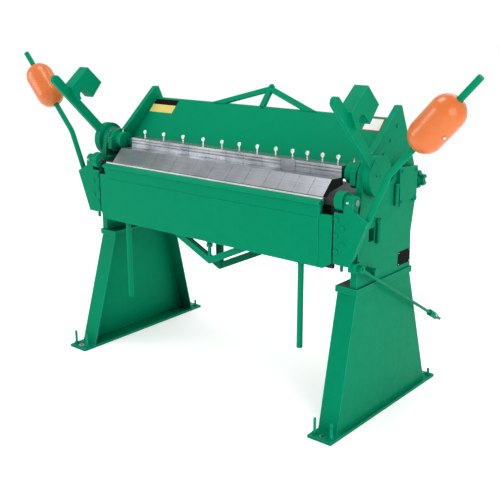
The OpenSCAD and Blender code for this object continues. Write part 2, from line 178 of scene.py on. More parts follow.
def new_group(name: str, inputs: dict[str, float], outputs: dict[str, str]) -> Graph:
    """Makes an empty shader node group.

    Args:
        name: the group's name.
        inputs: float input names with their defaults.
        outputs: output names with their kind, Float or Vector.

    Returns:
        The group's graph, with nodes named in and out.
    """
    tree = bpy.data.node_groups.new(name, "ShaderNodeTree")
    for key, value in inputs.items():
        socket = tree.interface.new_socket(name=key, in_out="INPUT", socket_type="NodeSocketFloat")
        socket.default_value = value
    for key, kind in outputs.items():
        tree.interface.new_socket(name=key, in_out="OUTPUT", socket_type="NodeSocket" + kind)
    tree.nodes.new("NodeGroupInput").name = "in"
    tree.nodes.new("NodeGroupOutput").name = "out"
    return Graph(tree)


class Effects:
    """The shared surface effects, each built once as a node group."""

    def __init__(self) -> None:
        """Builds every group."""
        self.edge_wear = self._edge_wear()
        self.hammer = self._hammer()
        self.grain = self._grain()
        self.grime = self._grime()
        self.recess = self._recess()

    @staticmethod
    def _edge_wear() -> bpy.types.NodeTree:
        """A mask that is 1 along sharp outer edges, broken up by noise, for the painted edge highlights and
        painted edge shade.
        """
        g = new_group("edge_wear", {"Radius": 0.003, "Breakup": 40.0}, {"Mask": "Float"})
        src, out = g.tree.nodes["in"], g.tree.nodes["out"]
        soft = g.add("Bevel", {0: src.outputs[0]}, samples=4)
        true = g.add("NewGeometry")
        dot = g.add("VectorMath", {0: soft.outputs[0], 1: true.outputs["Normal"]}, operation="DOT_PRODUCT")
        rim = g.spread(dot.outputs["Value"], 0.995, 0.86, (0.0, 1.0))
        coord = g.add("TexCoord")
        noise = g.add("TexNoise", {"Vector": coord.outputs["Object"], "Scale": src.outputs[1], "Detail": 4.0})
        broken = g.spread(noise.outputs[0], 0.30, 0.62, (0.35, 1.0))
        g.tree.links.new(g.math("MULTIPLY", rim, broken, True), out.inputs[0])
        return g.tree

    @staticmethod
    def _hammer() -> bpy.types.NodeTree:
        """The dimples of hammered paint, as a height and a tone mask."""
        g = new_group("hammer", {"Scale": 150.0}, {"Height": "Float", "Tone": "Float"})
        src, out = g.tree.nodes["in"], g.tree.nodes["out"]
        coord = g.add("TexCoord")
        warp = g.add("TexNoise", {"Vector": coord.outputs["Object"], "Scale": 60.0, "Detail": 2.0})
        bent = g.add("VectorMath", {0: warp.outputs["Color"], "Scale": 0.008}, operation="SCALE")
        place = g.add("VectorMath", {0: coord.outputs["Object"], 1: bent.outputs[0]}, operation="ADD")
        where = {"Vector": place.outputs[0], "Scale": src.outputs[0]}
        cells = g.add("TexVoronoi", where, feature="SMOOTH_F1")
        g.tree.links.new(g.spread(cells.outputs["Distance"], 0.05, 0.6, (0.0, 1.0)), out.inputs[0])
        speckle = {"Vector": coord.outputs["Object"], "Scale": 26.0, "Detail": 6.0, "Roughness": 0.65}
        fine = g.add("TexNoise", speckle)
        g.tree.links.new(g.spread(fine.outputs[0], 0.35, 0.68, (0.0, 1.0)), out.inputs[1])
        return g.tree

    @staticmethod
    def _grain() -> bpy.types.NodeTree:
        """Grinding marks that run along X, as a height and a tone."""
        g = new_group("grain", {"Along": 3.0, "Across": 1400.0}, {"Height": "Float", "Tone": "Float"})
        src, out = g.tree.nodes["in"], g.tree.nodes["out"]
        coord = g.add("TexCoord")
        scale = g.add("CombineXYZ", {0: src.outputs[0], 1: src.outputs[1], 2: src.outputs[1]})
        place = g.add("VectorMath", {0: coord.outputs["Object"], 1: scale.outputs[0]}, operation="MULTIPLY")
        lines = g.add("TexNoise", {"Vector": place.outputs[0], "Scale": 1.0, "Detail": 3.0, "Roughness": 0.7})
        g.tree.links.new(lines.outputs[0], out.inputs[0])
        cloud = g.add("TexNoise", {"Vector": coord.outputs["Object"], "Scale": 9.0, "Detail": 5.0})
        mix = g.math("MULTIPLY", lines.outputs[0], cloud.outputs[0])
        g.tree.links.new(g.spread(mix, 0.1, 0.4, (0.0, 1.0)), out.inputs[1])
        return g.tree

    @staticmethod
    def _recess() -> bpy.types.NodeTree:
        """A mask that is 1 deep in corners and hollows, where painted shade darkens the colour."""
        g = new_group("recess", {"Reach": 0.25}, {"Mask": "Float"})
        src, out = g.tree.nodes["in"], g.tree.nodes["out"]
        open_ = g.add("AmbientOcclusion", {"Distance": src.outputs[0]}, samples=6)
        g.tree.links.new(g.spread(open_.outputs["AO"], 0.62, 0.12, (0.0, 1.0)), out.inputs[0])
        return g.tree

    @staticmethod
    def _grime() -> bpy.types.NodeTree:
        """Slow, cloudy variation over a whole panel."""
        g = new_group("grime", {"Scale": 2.5}, {"Mask": "Float"})
        src, out = g.tree.nodes["in"], g.tree.nodes["out"]
        coord = g.add("TexCoord")
        cloud = g.add("TexNoise", {"Vector": coord.outputs["Object"], "Scale": src.outputs[0], "Detail": 7.0})
        g.tree.links.new(g.spread(cloud.outputs[0], 0.32, 0.7, (0.0, 1.0)), out.inputs[0])
        return g.tree


@dataclass(frozen=True)
class Paint:
    """A gloss enamel, smooth or hammered."""

    name: str
    colour: tuple[float, float, float]
    shade: tuple[float, float, float]
    # edge is the painted highlight colour laid along sharp edges.
    edge: tuple[float, float, float]
    roughness: float = 0.34
    dimple: float = 0.25
    cell: float = 150.0
    coat: float = 0.0
    specular: float = 0.025
    # Strength and reach of the painted shade deep in corners and hollows.
    hollow: float = 0.9
    reach: float = 0.25

    def make(self, fx: Effects) -> bpy.types.Material:
        """Builds the enamel.

        Args:
            fx: the shared effects.

        Returns:
            The material.
        """
        mat, g, shader = blank_material(self.name)
        hammer = g.add("Group", node_tree=fx.hammer)
        hammer.inputs["Scale"].default_value = self.cell
        edge_mask_node = g.add("Group", node_tree=fx.edge_wear)
        grime = g.add("Group", node_tree=fx.grime)
        tone = g.math("MULTIPLY", hammer.outputs["Tone"], 0.4)
        tone = g.math("ADD", tone, g.math("MULTIPLY", grime.outputs[0], 0.2), True)
        base = g.blend(tone, (*self.colour, 1), (*self.shade, 1))
        # Painted shade: the colour darkens deep in corners and hollows.
        recess = g.add("Group", node_tree=fx.recess)
        recess.inputs["Reach"].default_value = self.reach
        recess_shade_colour = tuple(c * 0.12 for c in self.shade)
        base = g.blend(g.math("MULTIPLY", recess.outputs[0], self.hollow), base, (*recess_shade_colour, 1))
        # Painted highlight: the colour lightens along sharp edges, broken up by noise.
        painted_edge_share = g.math("MULTIPLY", edge_mask_node.outputs[0], 0.8)
        g.tree.links.new(g.blend(painted_edge_share, base, (*self.edge, 1)), shader.inputs["Base Color"])
        rough = g.spread(hammer.outputs["Tone"], 0.0, 1.0, (self.roughness - 0.05, self.roughness + 0.08))
        g.tree.links.new(rough, shader.inputs["Roughness"])
        relief = {"Strength": self.dimple, "Distance": 0.0006, "Height": hammer.outputs["Height"]}
        bump = g.add("Bump", relief)
        g.tree.links.new(bump.outputs[0], shader.inputs["Normal"])
        shader.inputs["Specular IOR Level"].default_value = self.specular
        shader.inputs["Coat Weight"].default_value = self.coat
        shader.inputs["Coat Roughness"].default_value = 0.12
        return mat


@dataclass(frozen=True)
class Metal:
    """A bare metal with grinding marks."""

    name: str
    colour: tuple[float, float, float]
    shade: tuple[float, float, float]
    roughness: float = 0.3
    metallic: float = 1.0
    across: float = 1400.0
    along: float = 3.0
    depth: float = 0.12
    # rim scales the colour along sharp edges: above 1 a painted highlight, below 1 painted shade.
    rim: float = 1.5
    rim_reach: float = 0.0015

    def make(self, fx: Effects) -> bpy.types.Material:
        """Builds the metal.

        Args:
            fx: the shared effects.

        Returns:
            The material.
        """
        mat, g, shader = blank_material(self.name)
        grain = g.add("Group", node_tree=fx.grain)
        grain.inputs["Across"].default_value = self.across
        grain.inputs["Along"].default_value = self.along
        edge_mask_node = g.add("Group", node_tree=fx.edge_wear)
        edge_mask_node.inputs["Radius"].default_value = self.rim_reach
        base = g.blend(grain.outputs["Tone"], (*self.shade, 1), (*self.colour, 1))
        # Along sharp edges the colour is scaled by rim: a painted highlight above 1, painted shade below 1.
        rim = tuple(min(1.0, c * self.rim) for c in self.colour)
        painted_edge_share = g.math("MULTIPLY", edge_mask_node.outputs[0], 0.85)
        g.tree.links.new(g.blend(painted_edge_share, base, (*rim, 1)), shader.inputs["Base Color"])
        rough = g.spread(grain.outputs["Tone"], 0.0, 1.0, (self.roughness + 0.12, self.roughness - 0.04))
        g.tree.links.new(rough, shader.inputs["Roughness"])
        bump = g.add("Bump", {"Strength": self.depth, "Distance": 0.0002, "Height": grain.outputs["Height"]})
        g.tree.links.new(bump.outputs[0], shader.inputs["Normal"])
        shader.inputs["Metallic"].default_value = self.metallic
        return mat


def blank_material(name: str) -> tuple[bpy.types.Material, Graph, bpy.types.Node]:
    """Makes a material with only its Principled shader.

    Args:
        name: the material's name.

    Returns:
        The material, its graph and the shader.
    """
    mat = bpy.data.materials.new(name)
    mat.use_nodes = True
    graph = Graph(mat.node_tree)
    return mat, graph, mat.node_tree.nodes["Principled BSDF"]


class Finish(Enum):
    """Every finish on the machine."""

    # Each paint's third colour is a painted highlight laid along sharp edges; corners and hollows get painted
    # shade.
    GREEN = Paint("green_hammer_enamel", (0.0, 0.215, 0.102), (0.0, 0.18, 0.085), (0.008, 0.50, 0.36))
    GREEN_PLAIN = Paint("green_smooth_enamel", (0.0, 0.218, 0.103), (0.0, 0.195, 0.092), (0.008, 0.50, 0.36),
                        roughness=0.38, dimple=0.06, cell=320.0)
    # A copy of the green with stronger, farther-reaching painted shade, for the dark insides of the legs.
    GREEN_LEG = Paint("green_leg_enamel", (0.0, 0.215, 0.102), (0.0, 0.18, 0.085), (0.008, 0.50, 0.36),
                      hollow=1.0, reach=0.45)
    GREEN_DARK = Paint("green_shaded_enamel", (0.0, 0.12, 0.056), (0.0, 0.09, 0.043), (0.01, 0.24, 0.13))
    ORANGE = Paint("orange_gloss_enamel", (0.62, 0.145, 0.024), (0.55, 0.115, 0.018), (0.75, 0.28, 0.08),
                   roughness=0.26, dimple=0.03, cell=260.0, coat=0.15, specular=0.4, hollow=0.0)
    YELLOW = Paint("yellow_plate", (0.66, 0.53, 0.15), (0.60, 0.48, 0.13), (0.8, 0.7, 0.3),
                   dimple=0.0, hollow=0.0)
    WHITE = Paint("white_plate", (0.72, 0.72, 0.70), (0.68, 0.68, 0.66), (0.8, 0.8, 0.8),
                  dimple=0.0, hollow=0.0)
    RED = Paint("red_plate", (0.50, 0.03, 0.02), (0.45, 0.03, 0.02), (0.55, 0.1, 0.08),
                dimple=0.0, hollow=0.0)
    INK = Paint("black_plate", (0.006, 0.006, 0.007), (0.01, 0.01, 0.011), (0.04, 0.04, 0.04), roughness=0.6,
                dimple=0.0, hollow=0.0)
    # Ground steel's rim darkens its edges nearly to black: painted shade where the fingers meet.
    GROUND = Metal("ground_steel", (0.45, 0.47, 0.50), (0.20, 0.22, 0.24), roughness=0.32, rim=0.06,
                   rim_reach=0.0028, depth=0.2)
    BRIGHT = Metal("bright_steel_edge", (0.72, 0.72, 0.74), (0.52, 0.52, 0.54), roughness=0.5)
    DULL = Metal("plain_steel", (0.30, 0.31, 0.33), (0.22, 0.23, 0.25), roughness=0.42)
    ZINC = Metal("zinc_plated_steel", (0.70, 0.70, 0.68), (0.5, 0.5, 0.48), roughness=0.25,
                 along=200.0, across=200.0)
    BLACK = Metal("blackened_steel", (0.03, 0.03, 0.035), (0.015, 0.015, 0.017), roughness=0.5, metallic=0.6)


class PaintShop:
    """Builds each finish once and hands it out."""

    def __init__(self) -> None:
        """Builds the shared effects."""
        self.fx = Effects()
        self.made: dict[Finish, bpy.types.Material] = {}

    def coat(self, obj: bpy.types.Object, finish: Finish) -> None:
        """Gives a piece one finish all over.

        Args:
            obj: the piece.
            finish: its finish.
        """
        if finish not in self.made:
            self.made[finish] = finish.value.make(self.fx)
        obj.data.materials.clear()
        obj.data.materials.append(self.made[finish])


SHOP = PaintShop()


# ---------------------------------------------------------------- shapes


class Shape:
    """One mesh piece, grown with bmesh operators."""

    def __init__(self, name: str) -> None:
        """Starts an empty piece.

        Args:
            name: the piece's name.
        """
        self.name = name
        self.bm = bmesh.new()

    def round_edges(self, edges: list[bmesh.types.BMEdge], width: float, segments: int = 2) -> None:
        """Rounds edges over.

        Args:
            edges: the edges to round.
            width: how far the round reaches.
            segments: its number of facets.
        """
        if edges and width > 0:
            bmesh.ops.bevel(self.bm, geom=edges, offset=width, offset_type="OFFSET", segments=segments,
                            profile=0.5, affect="EDGES", clamp_overlap=True, material=-1)

    def copy_cad(self, node: str, width: float, angle: float = 38.0, segments: int = 2) -> "Shape":
        """Takes a CAD node's shape and rounds its sharp edges.

        Args:
            node: the CAD node's name.
            width: how far the rounds reach.
            angle: edges sharper than this, in degrees, are rounded.
            segments: facets in each round.

        Returns:
            This piece.
        """
        self.bm.from_mesh(NODES[node].data)
        bmesh.ops.remove_doubles(self.bm, verts=self.bm.verts, dist=2e-6)
        flat = math.radians(0.6)
        bmesh.ops.dissolve_limit(self.bm, angle_limit=flat, verts=self.bm.verts, edges=self.bm.edges)
        limit = math.radians(angle)
        sharp = [e for e in self.bm.edges if len(e.link_faces) == 2 and e.calc_face_angle(0.0) > limit]
        self.round_edges(sharp, width, segments)
        return self

    def block(self, lo: tuple, hi: tuple, width: float = 0.001, turn: Matrix | None = None) -> "Shape":
        """Adds a block with rounded edges.

        Args:
            lo: its lowest corner.
            hi: its highest corner.
            width: how far the rounds reach.
            turn: a transform for the finished block.

        Returns:
            This piece.
        """
        low, high = Vector(lo), Vector(hi)
        verts = bmesh.ops.create_cube(self.bm, size=1.0)["verts"]
        bmesh.ops.scale(self.bm, vec=high - low, verts=verts)
        bmesh.ops.translate(self.bm, vec=(low + high) / 2, verts=verts)
        if turn is not None:
            bmesh.ops.transform(self.bm, matrix=turn, verts=verts)
        edges = list({e for v in verts for e in v.link_edges})
        self.round_edges(edges, width)
        return self

    def turned(self, profile: list[tuple[float, float]], at: Vector, axis: Vector,
               steps: int = 32) -> "Shape":
        """Adds a piece turned on a lathe.

        Args:
            profile: radius and height pairs from one end to the other.
            at: where height 0 lies.
            axis: the direction of rising height.
            steps: facets round the piece.

        Returns:
            This piece.
        """
        verts = [self.bm.verts.new((r, 0.0, z)) for r, z in profile]
        edges = [self.bm.edges.new(pair) for pair in zip(verts, verts[1:])]
        bmesh.ops.spin(self.bm, geom=verts + edges, cent=(0, 0, 0), axis=(0, 0, 1), dvec=(0, 0, 0),
                       angle=2 * math.pi, steps=steps, use_merge=True)
        ring = self._island(verts)
        bmesh.ops.remove_doubles(self.bm, verts=ring, dist=1e-6)
        ring = [v for v in ring if v.is_valid]
        faces = list({f for v in ring for f in v.link_faces})
        bmesh.ops.recalc_face_normals(self.bm, faces=faces)
        place = Matrix.Translation(at) @ Axis.Z.unit.rotation_difference(axis).to_matrix().to_4x4()
        bmesh.ops.transform(self.bm, matrix=place, verts=ring)
        return self

    def _island(self, seeds: list[bmesh.types.BMVert]) -> list[bmesh.types.BMVert]:
        """Every vertex joined to the given ones."""
        seen, queue = set(seeds), list(seeds)
        while queue:
            for edge in queue.pop().link_edges:
                for v in edge.verts:
                    if v not in seen:
                        seen.add(v)
                        queue.append(v)
        return list(seen)

    def hexagon(self, at: Vector, axis: Vector, across: float, height: float) -> "Shape":
        """Adds a chamfered hexagon head or nut.

        Args:
            at: the middle of its seat.
            axis: the direction it stands in.
            across: its width over corners.
            height: its height.

        Returns:
            This piece.
        """
        base = bmesh.ops.create_circle(self.bm, cap_ends=True, segments=6, radius=across / 2)["verts"]
        faces = list({f for v in base for f in v.link_faces})
        grown = bmesh.ops.extrude_face_region(self.bm, geom=faces)["geom"]
        top = [g for g in grown if isinstance(g, bmesh.types.BMVert)]
        bmesh.ops.translate(self.bm, vec=(0, 0, height), verts=top)
        solid = self._island(base)
        bmesh.ops.recalc_face_normals(self.bm, faces=list({f for v in solid for f in v.link_faces}))
        rim = [e for e in {e for v in top for e in v.link_edges} if all(v in top for v in e.verts)]
        place = Matrix.Translation(at) @ Axis.Z.unit.rotation_difference(axis).to_matrix().to_4x4()
        bmesh.ops.transform(self.bm, matrix=place, verts=solid)
        self.round_edges(rim, across * 0.05)
        return self

    def swept(self, radius: float, start: Matrix, first: float, bend: float, elbow: float,
              last: float) -> "Shape":
        """Adds a bar that runs straight, bends once and runs straight again.

        Args:
            radius: the bar's radius.
            start: the bar's lower end, its Z along the bar, bending towards its X.
            first: length up to the bend.
            bend: the bend's angle.
            elbow: the bend's radius.
            last: length after the bend.

        Returns:
            This piece.
        """
        disc = bmesh.ops.create_circle(self.bm, cap_ends=True, segments=40, radius=radius)["verts"]
        face = list({f for v in disc for f in v.link_faces})
        cap_edges = list(face[0].edges)
        front = self._grow(face, Vector((0, 0, first)))
        centre = Vector((elbow, 0, first))
        arc = bmesh.ops.spin(self.bm, geom=front, cent=centre, axis=(0, 1, 0), dvec=(0, 0, 0),
                             angle=bend, steps=14)["geom_last"]
        bmesh.ops.delete(self.bm, geom=front, context="FACES_ONLY")
        tip = [g for g in arc if isinstance(g, bmesh.types.BMFace)]
        out = Vector((math.sin(bend), 0, math.cos(bend)))
        end = self._grow(tip, out * last)
        bmesh.ops.delete(self.bm, geom=[f for f in tip if f.is_valid], context="FACES_ONLY")
        verts = self._island(disc)
        bmesh.ops.recalc_face_normals(self.bm, faces=list({f for v in verts for f in v.link_faces}))
        bmesh.ops.transform(self.bm, matrix=start, verts=verts)
        self.round_edges(list(end[0].edges) + [e for e in cap_edges if e.is_valid], radius * 0.16, 3)
        return self

    def _grow(self, faces: list[bmesh.types.BMFace], by: Vector) -> list[bmesh.types.BMFace]:
        """Extrudes faces and returns the new end faces."""
        geom = bmesh.ops.extrude_face_region(self.bm, geom=faces, use_keep_orig=False)["geom"]
        bmesh.ops.translate(self.bm, vec=by, verts=[g for g in geom if isinstance(g, bmesh.types.BMVert)])
        return [g for g in geom if isinstance(g, bmesh.types.BMFace)]

    def done(self, body: str, finish: Finish, slot: str = "", stands_for: tuple[str, ...] = (),
             smooth: float = 32.0) -> bpy.types.Object:
        """Turns the piece into an object that rides on a body.

        Args:
            body: the CAD body.
            finish: the piece's finish.
            slot: the record's material slot; not used.
            stands_for: CAD nodes this piece is shown instead of.
            smooth: edges flatter than this, in degrees, are shaded smooth.

        Returns:
            The object.
        """
        mesh = bpy.data.meshes.new(self.name)
        self.bm.to_mesh(mesh)
        self.bm.free()
        mesh.shade_smooth()
        mesh.set_sharp_from_angle(angle=math.radians(smooth))
        obj = bpy.data.objects.new(self.name, mesh)
        bpy.context.scene.collection.objects.link(obj)
        weigh = obj.modifiers.new("even_shading", "WEIGHTED_NORMAL")
        weigh.keep_sharp = True
        SHOP.coat(obj, finish)
        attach(obj, body)
        if stands_for:
            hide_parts(*stands_for)
        LOG.info("%s: %d faces", self.name, len(mesh.polygons))
        return obj


def dress(node: str, finish: Finish, width: float = 0.0015, angle: float = 38.0) -> bpy.types.Object:
    """Shows a CAD node with rounded edges and a finish.

    Args:
        node: the CAD node.
        finish: its finish.
        width: how far its rounds reach.
        angle: edges sharper than this, in degrees, are rounded.

    Returns:
        The shown piece.
    """
    shape = Shape(node + "_shown").copy_cad(node, width, angle)
    return shape.done(BODY_OF[node], finish, SLOT_OF[node], (node,))


def capped_bolt(shape: Shape, at: Vector, axis: Vector, radius: float, height: float) -> None:
    """Adds a cap screw head with its socket.

    Args:
        shape: the piece that gets it.
        at: the middle of its seat.
        axis: the way it stands.
        radius: the head's radius.
        height: the head's height.
    """
    r, h, s = radius, height, radius * 0.5
    profile = [(0, 0), (r, 0), (r, h * 0.85), (r * 0.9, h), (s, h), (s, h * 0.4), (0, h * 0.3)]
    shape.turned(profile, at, axis, 28)


def nipple(name: str, body: str, at: Vector, axis: Vector) -> None:
    """Adds a grease nipple.

    Args:
        name: the piece's name.
        body: the body it rides on.
        at: the middle of its seat.
        axis: the way it stands.
    """
    profile = [(0, 0), (0.0045, 0), (0.0045, 0.005), (0.0028, 0.006), (0.0022, 0.009), (0.0033, 0.011),
               (0.0033, 0.0125), (0.0018, 0.0145), (0, 0.0146)]
    Shape(name).turned(profile, at, axis, 20).done(body, Finish.ZINC, "bright_steel")


def threaded(shape: Shape, at: Vector, axis: Vector, radius: float, length: float, pitch: float) -> None:
    """Adds a threaded stud with rounded crests.

    Args:
        shape: the piece that gets it.
        at: its lower end.
        axis: the way it points.
        radius: its outer radius.
        length: its length.
        pitch: crest to crest.
    """
    root = radius - pitch * 0.55
    profile: list[tuple[float, float]] = [(0, 0), (root, 0)]
    count = int((length - pitch) / pitch)
    for i in range(count):
        z = (i + 0.5) * pitch
        profile += [(radius, z - pitch * 0.1), (radius, z + pitch * 0.1), (root, z + pitch * 0.5)]
    profile += [(root, length), (0, length)]
    shape.turned(profile, at, axis, 20)


# ---------------------------------------------------------------- sub-assemblies


@dataclass
class LegStand:
    """A channel leg on its foot plate, with its anchor washers."""

    side: Side
    hole_back: float = 0.026
    hole_in: float = 0.056
    foot_t: float = 0.012

    def build(self) -> None:
        """Builds and dresses the leg."""
        node = f"leg_{self.side.word}"
        dress(node, Finish.GREEN_LEG, 0.002)
        lo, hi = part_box(node)
        s = self.side.value
        edge = max(abs(lo.x), abs(hi.x))
        shape = Shape(f"anchor_washer_{self.side.word}")
        ring = [(0.0075, 0.0), (0.013, 0.0), (0.013, 0.002), (0.0075, 0.002), (0.0075, 0.0)]
        for y in (lo.y + self.hole_back, hi.y - self.hole_back):
            shape.turned(ring, Vector((s * (edge - self.hole_in), y, self.foot_t)), Axis.Z.unit, 28)
        shape.done("base", Finish.ZINC, "bright_steel")


@dataclass
class LevellingScrews:
    """The eight screws that level the feet."""

    radius: float = 0.006
    inset: float = 0.016
    spacing: float = 0.080
    back: float = 0.028
    pitch: float = 0.00175
    nut: tuple[float, float, float] = (0.0121, 0.0225, 0.0088)
    tall: float = 0.080
    short: float = 0.046

    def build(self) -> None:
        """Builds the screws with their threads and nuts."""
        lo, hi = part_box("leg_right")
        shape = Shape("levelling_screws_shown")
        up = Axis.Z.unit
        for s in (-1, 1):
            for y, height in ((lo.y + self.back, self.tall), (hi.y - self.back, self.short)):
                for x in (hi.x - self.inset, hi.x - self.inset - self.spacing):
                    at = Vector((s * x, y, 0.0))
                    threaded(shape, at, up, self.radius, height, self.pitch)
                    seat, across, thick = self.nut
                    shape.hexagon(at + up * seat, up, across, thick)
        shape.done("base", Finish.GREEN, "green_paint", ("levelling_screws",))


@dataclass
class EndFrame:
    """The thick end frame with its setback housing."""

    side: Side
    plate: tuple[float, float, float, float] = (0.106, 0.204, 0.601, 0.662)
    bolts: tuple[tuple[float, float], ...] = ((0.082, 0.884), (0.196, 0.884), (0.082, 1.010), (0.196, 1.002))
    rib_foot: tuple[float, float, float] = (0.7595, 0.0565, 0.872)
    adjuster_foot: tuple[float, float, float] = (0.7605, -0.073, 0.742)
    # The black block beside the hinge stands in for shade there.
    packing: tuple[tuple[float, float], ...] = ((0.642, 0.686), (-0.238, -0.2222), (0.845, 0.9115))

    def build(self) -> None:
        """Builds and dresses the end frame."""
        node = f"end_frame_{self.side.word}"
        dress(node, Finish.GREEN, 0.0025)
        dress(f"hinge_bracket_{self.side.word}", Finish.GREEN, 0.002)
        dress(f"pivot_block_{self.side.word}", Finish.GREEN, 0.0015)
        dress(f"setback_screw_{self.side.word}", Finish.GREEN, 0.002)
        s = self.side.value
        bolts = Shape(f"housing_bolts_{self.side.word}")
        for y, z in self.bolts:
            capped_bolt(bolts, Vector((s * HOUSING_FACE, y, z)), Vector((s, 0, 0)), 0.007, 0.005)
        bolts.done("base", Finish.GREEN, "green_paint")
        rib = [(0, 0), (0.007, 0), (0.0095, 0.003), (0.0095, 0.089), (0.007, 0.092), (0, 0.092)]
        x, y, z = self.rib_foot
        upright = Shape(f"housing_rib_{self.side.word}").turned(rib, Vector((s * x, y, z)), Axis.Z.unit, 36)
        upright.done("base", Finish.GREEN)
        self._adjuster(s)
        self._details(s)
        if self.side is Side.RIGHT:
            self._data_plate(FRAME_OUT)

    def _adjuster(self, s: int) -> None:
        """Adds the upright adjusting screw in its sleeve beside the slot."""
        x, y, z = self.adjuster_foot
        foot, up = Vector((s * x, y, z)), Axis.Z.unit
        sleeve = Shape(f"adjuster_sleeve_{self.side.word}")
        profile = [(0, 0), (0.0095, 0), (0.011, 0.0015), (0.011, 0.0865), (0.0095, 0.088), (0, 0.088)]
        sleeve.turned(profile, foot, up, 40)
        sleeve.hexagon(foot + up * 0.087, up, 0.024, 0.012)
        sleeve.done("base", Finish.GREEN)

    def _details(self, s: int) -> None:
        """Adds the steel ring round the shaft and the black block beside the hinge, which stands in for shade
        there.
        """
        ring = Shape(f"bearing_ring_{self.side.word}")
        profile = [(0.036, 0), (0.0575, 0), (0.0575, 0.0025), (0.0565, 0.0035), (0.037, 0.0035),
                   (0.036, 0.0025), (0.036, 0)]
        ring.turned(profile, Vector((s * FRAME_IN, SHAFT.y, SHAFT.z)), Vector((-s, 0, 0)), 64)
        ring.done("base", Finish.DULL, "bright_steel")
        x, (y0, y1), (z0, z1) = self.packing
        x0, x1 = sorted((s * x[0], s * x[1]))
        block = Shape(f"hinge_packing_{self.side.word}").block((x0, y0, z0), (x1, y1, z1), 0.0015)
        block.done("base", Finish.BLACK, "black_steel")

    def _data_plate(self, face: float) -> None:
        """Adds the plain data plate and its rivets."""
        y0, y1, z0, z1 = self.plate
        thick, inset = 0.0014, 0.006
        plate = Shape("data_plate").block((face, y0, z0), (face + thick, y1, z1), 0.0005)
        plate.done("base", Finish.INK)
        rivets = Shape("data_plate_rivets")
        dome = [(0, 0), (0.0025, 0), (0.0022, 0.0008), (0.0012, 0.0014), (0, 0.0016)]
        for y in (y0 + inset, y1 - inset):
            for z in (z0 + inset, z1 - inset):
                rivets.turned(dome, Vector((face + thick, y, z)), Axis.X.unit, 16)
        rivets.done("base", Finish.ZINC, "bright_steel")


@dataclass
class Bed:
    """The beam under the bed and the black bed plate."""

    screws: int = 9
    pitch: float = 0.14
    back: float = 0.03

    def build(self) -> None:
        """Builds and dresses the bed."""
        dress("bed_beam", Finish.GREEN_DARK, 0.002)
        dress("bed_plate", Finish.BLACK, 0.001)
        dress("hinge_pins", Finish.DULL, 0.001)
        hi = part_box("bed_plate")[1]
        screws = Shape("bed_plate_screws")
        head = [(0, 0), (0.008, 0), (0.0076, 0.0006), (0.004, 0.0006), (0.0038, 0.0002), (0, 0.0002)]
        for i in range(self.screws):
            at = Vector((self.pitch * (i - (self.screws - 1) / 2), hi.y - self.back, hi.z))
            screws.turned(head, at, Axis.Z.unit, 24)
        screws.done("base", Finish.BLACK, "black_steel")


@dataclass
class BendingLeaf:
    """The bending leaf with its rail, nose bar, truss and pull bars."""

    skin: float = 0.0025
    skin_half: float = 0.612
    skin_top: float = 0.860
    rail_over: float = 0.012
    bar_round: float = 0.003

    def build(self) -> None:
        """Builds and dresses the leaf."""
        dress("bending_leaf", Finish.GREEN_PLAIN, 0.0015)
        dress("nose_bar", Finish.BRIGHT, 0.0008)
        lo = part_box("bending_leaf")[0]
        front = lo.y + self.rail_over
        back = front + 0.0005
        skin = Shape("leaf_lower_skin").block((-self.skin_half, front - self.skin, lo.z + 0.004),
                                              (self.skin_half, back, self.skin_top), 0.0012)
        skin.done("bending", Finish.GREEN_PLAIN)
        lip = Shape("leaf_end_lip").block((0.599, front - 0.003, 0.862), (0.6162, back, 0.9135), 0.001)
        lip.done("bending", Finish.GREEN_PLAIN)
        # Black blocks at the leaf's lower corners stand in for the shade there.
        corners = Shape("leaf_corner_packing")
        for s in (-1, 1):
            x0, x1 = sorted((s * 0.636, s * 0.6725))
            corners.block((x0, front + 0.0165, lo.z + 0.001), (x1, front + 0.030, lo.z + 0.034), 0.001)
        corners.done("bending", Finish.BLACK, "black_steel")
        self._truss()
        for side in Side:
            self._pull_bar(side)

    def _truss(self) -> None:
        """Dresses the truss and threads its post."""
        lo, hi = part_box("leaf_truss")
        dress("leaf_truss", Finish.GREEN, 0.0015)
        mid = Vector((0, (hi.y + lo.y) / 2, hi.z - 0.08))
        shape = Shape("truss_post_thread")
        threaded(shape, mid, Axis.Z.unit, 0.0086, 0.046, 0.003)
        shape.done("bending", Finish.GREEN)

    def _pull_bar(self, side: Side) -> None:
        """Builds one pull bar with rounded ends and its weld."""
        node = f"pull_bar_{side.word}"
        lo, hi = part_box(node)
        r, length = (hi.x - lo.x) / 2, hi.z - lo.z
        mid = Vector(((lo.x + hi.x) / 2, (lo.y + hi.y) / 2, lo.z))
        q = self.bar_round
        profile = [(0, 0), (r - q, 0), (r - q * 0.3, q * 0.3), (r, q), (r, length - 0.006),
                   (r + 0.004, length - 0.001), (r + 0.004, length), (0, length)]
        Shape(node + "_shown").turned(profile, mid, Axis.Z.unit, 40).done(
            "bending", Finish.GREEN_PLAIN, "green_paint", (node,))


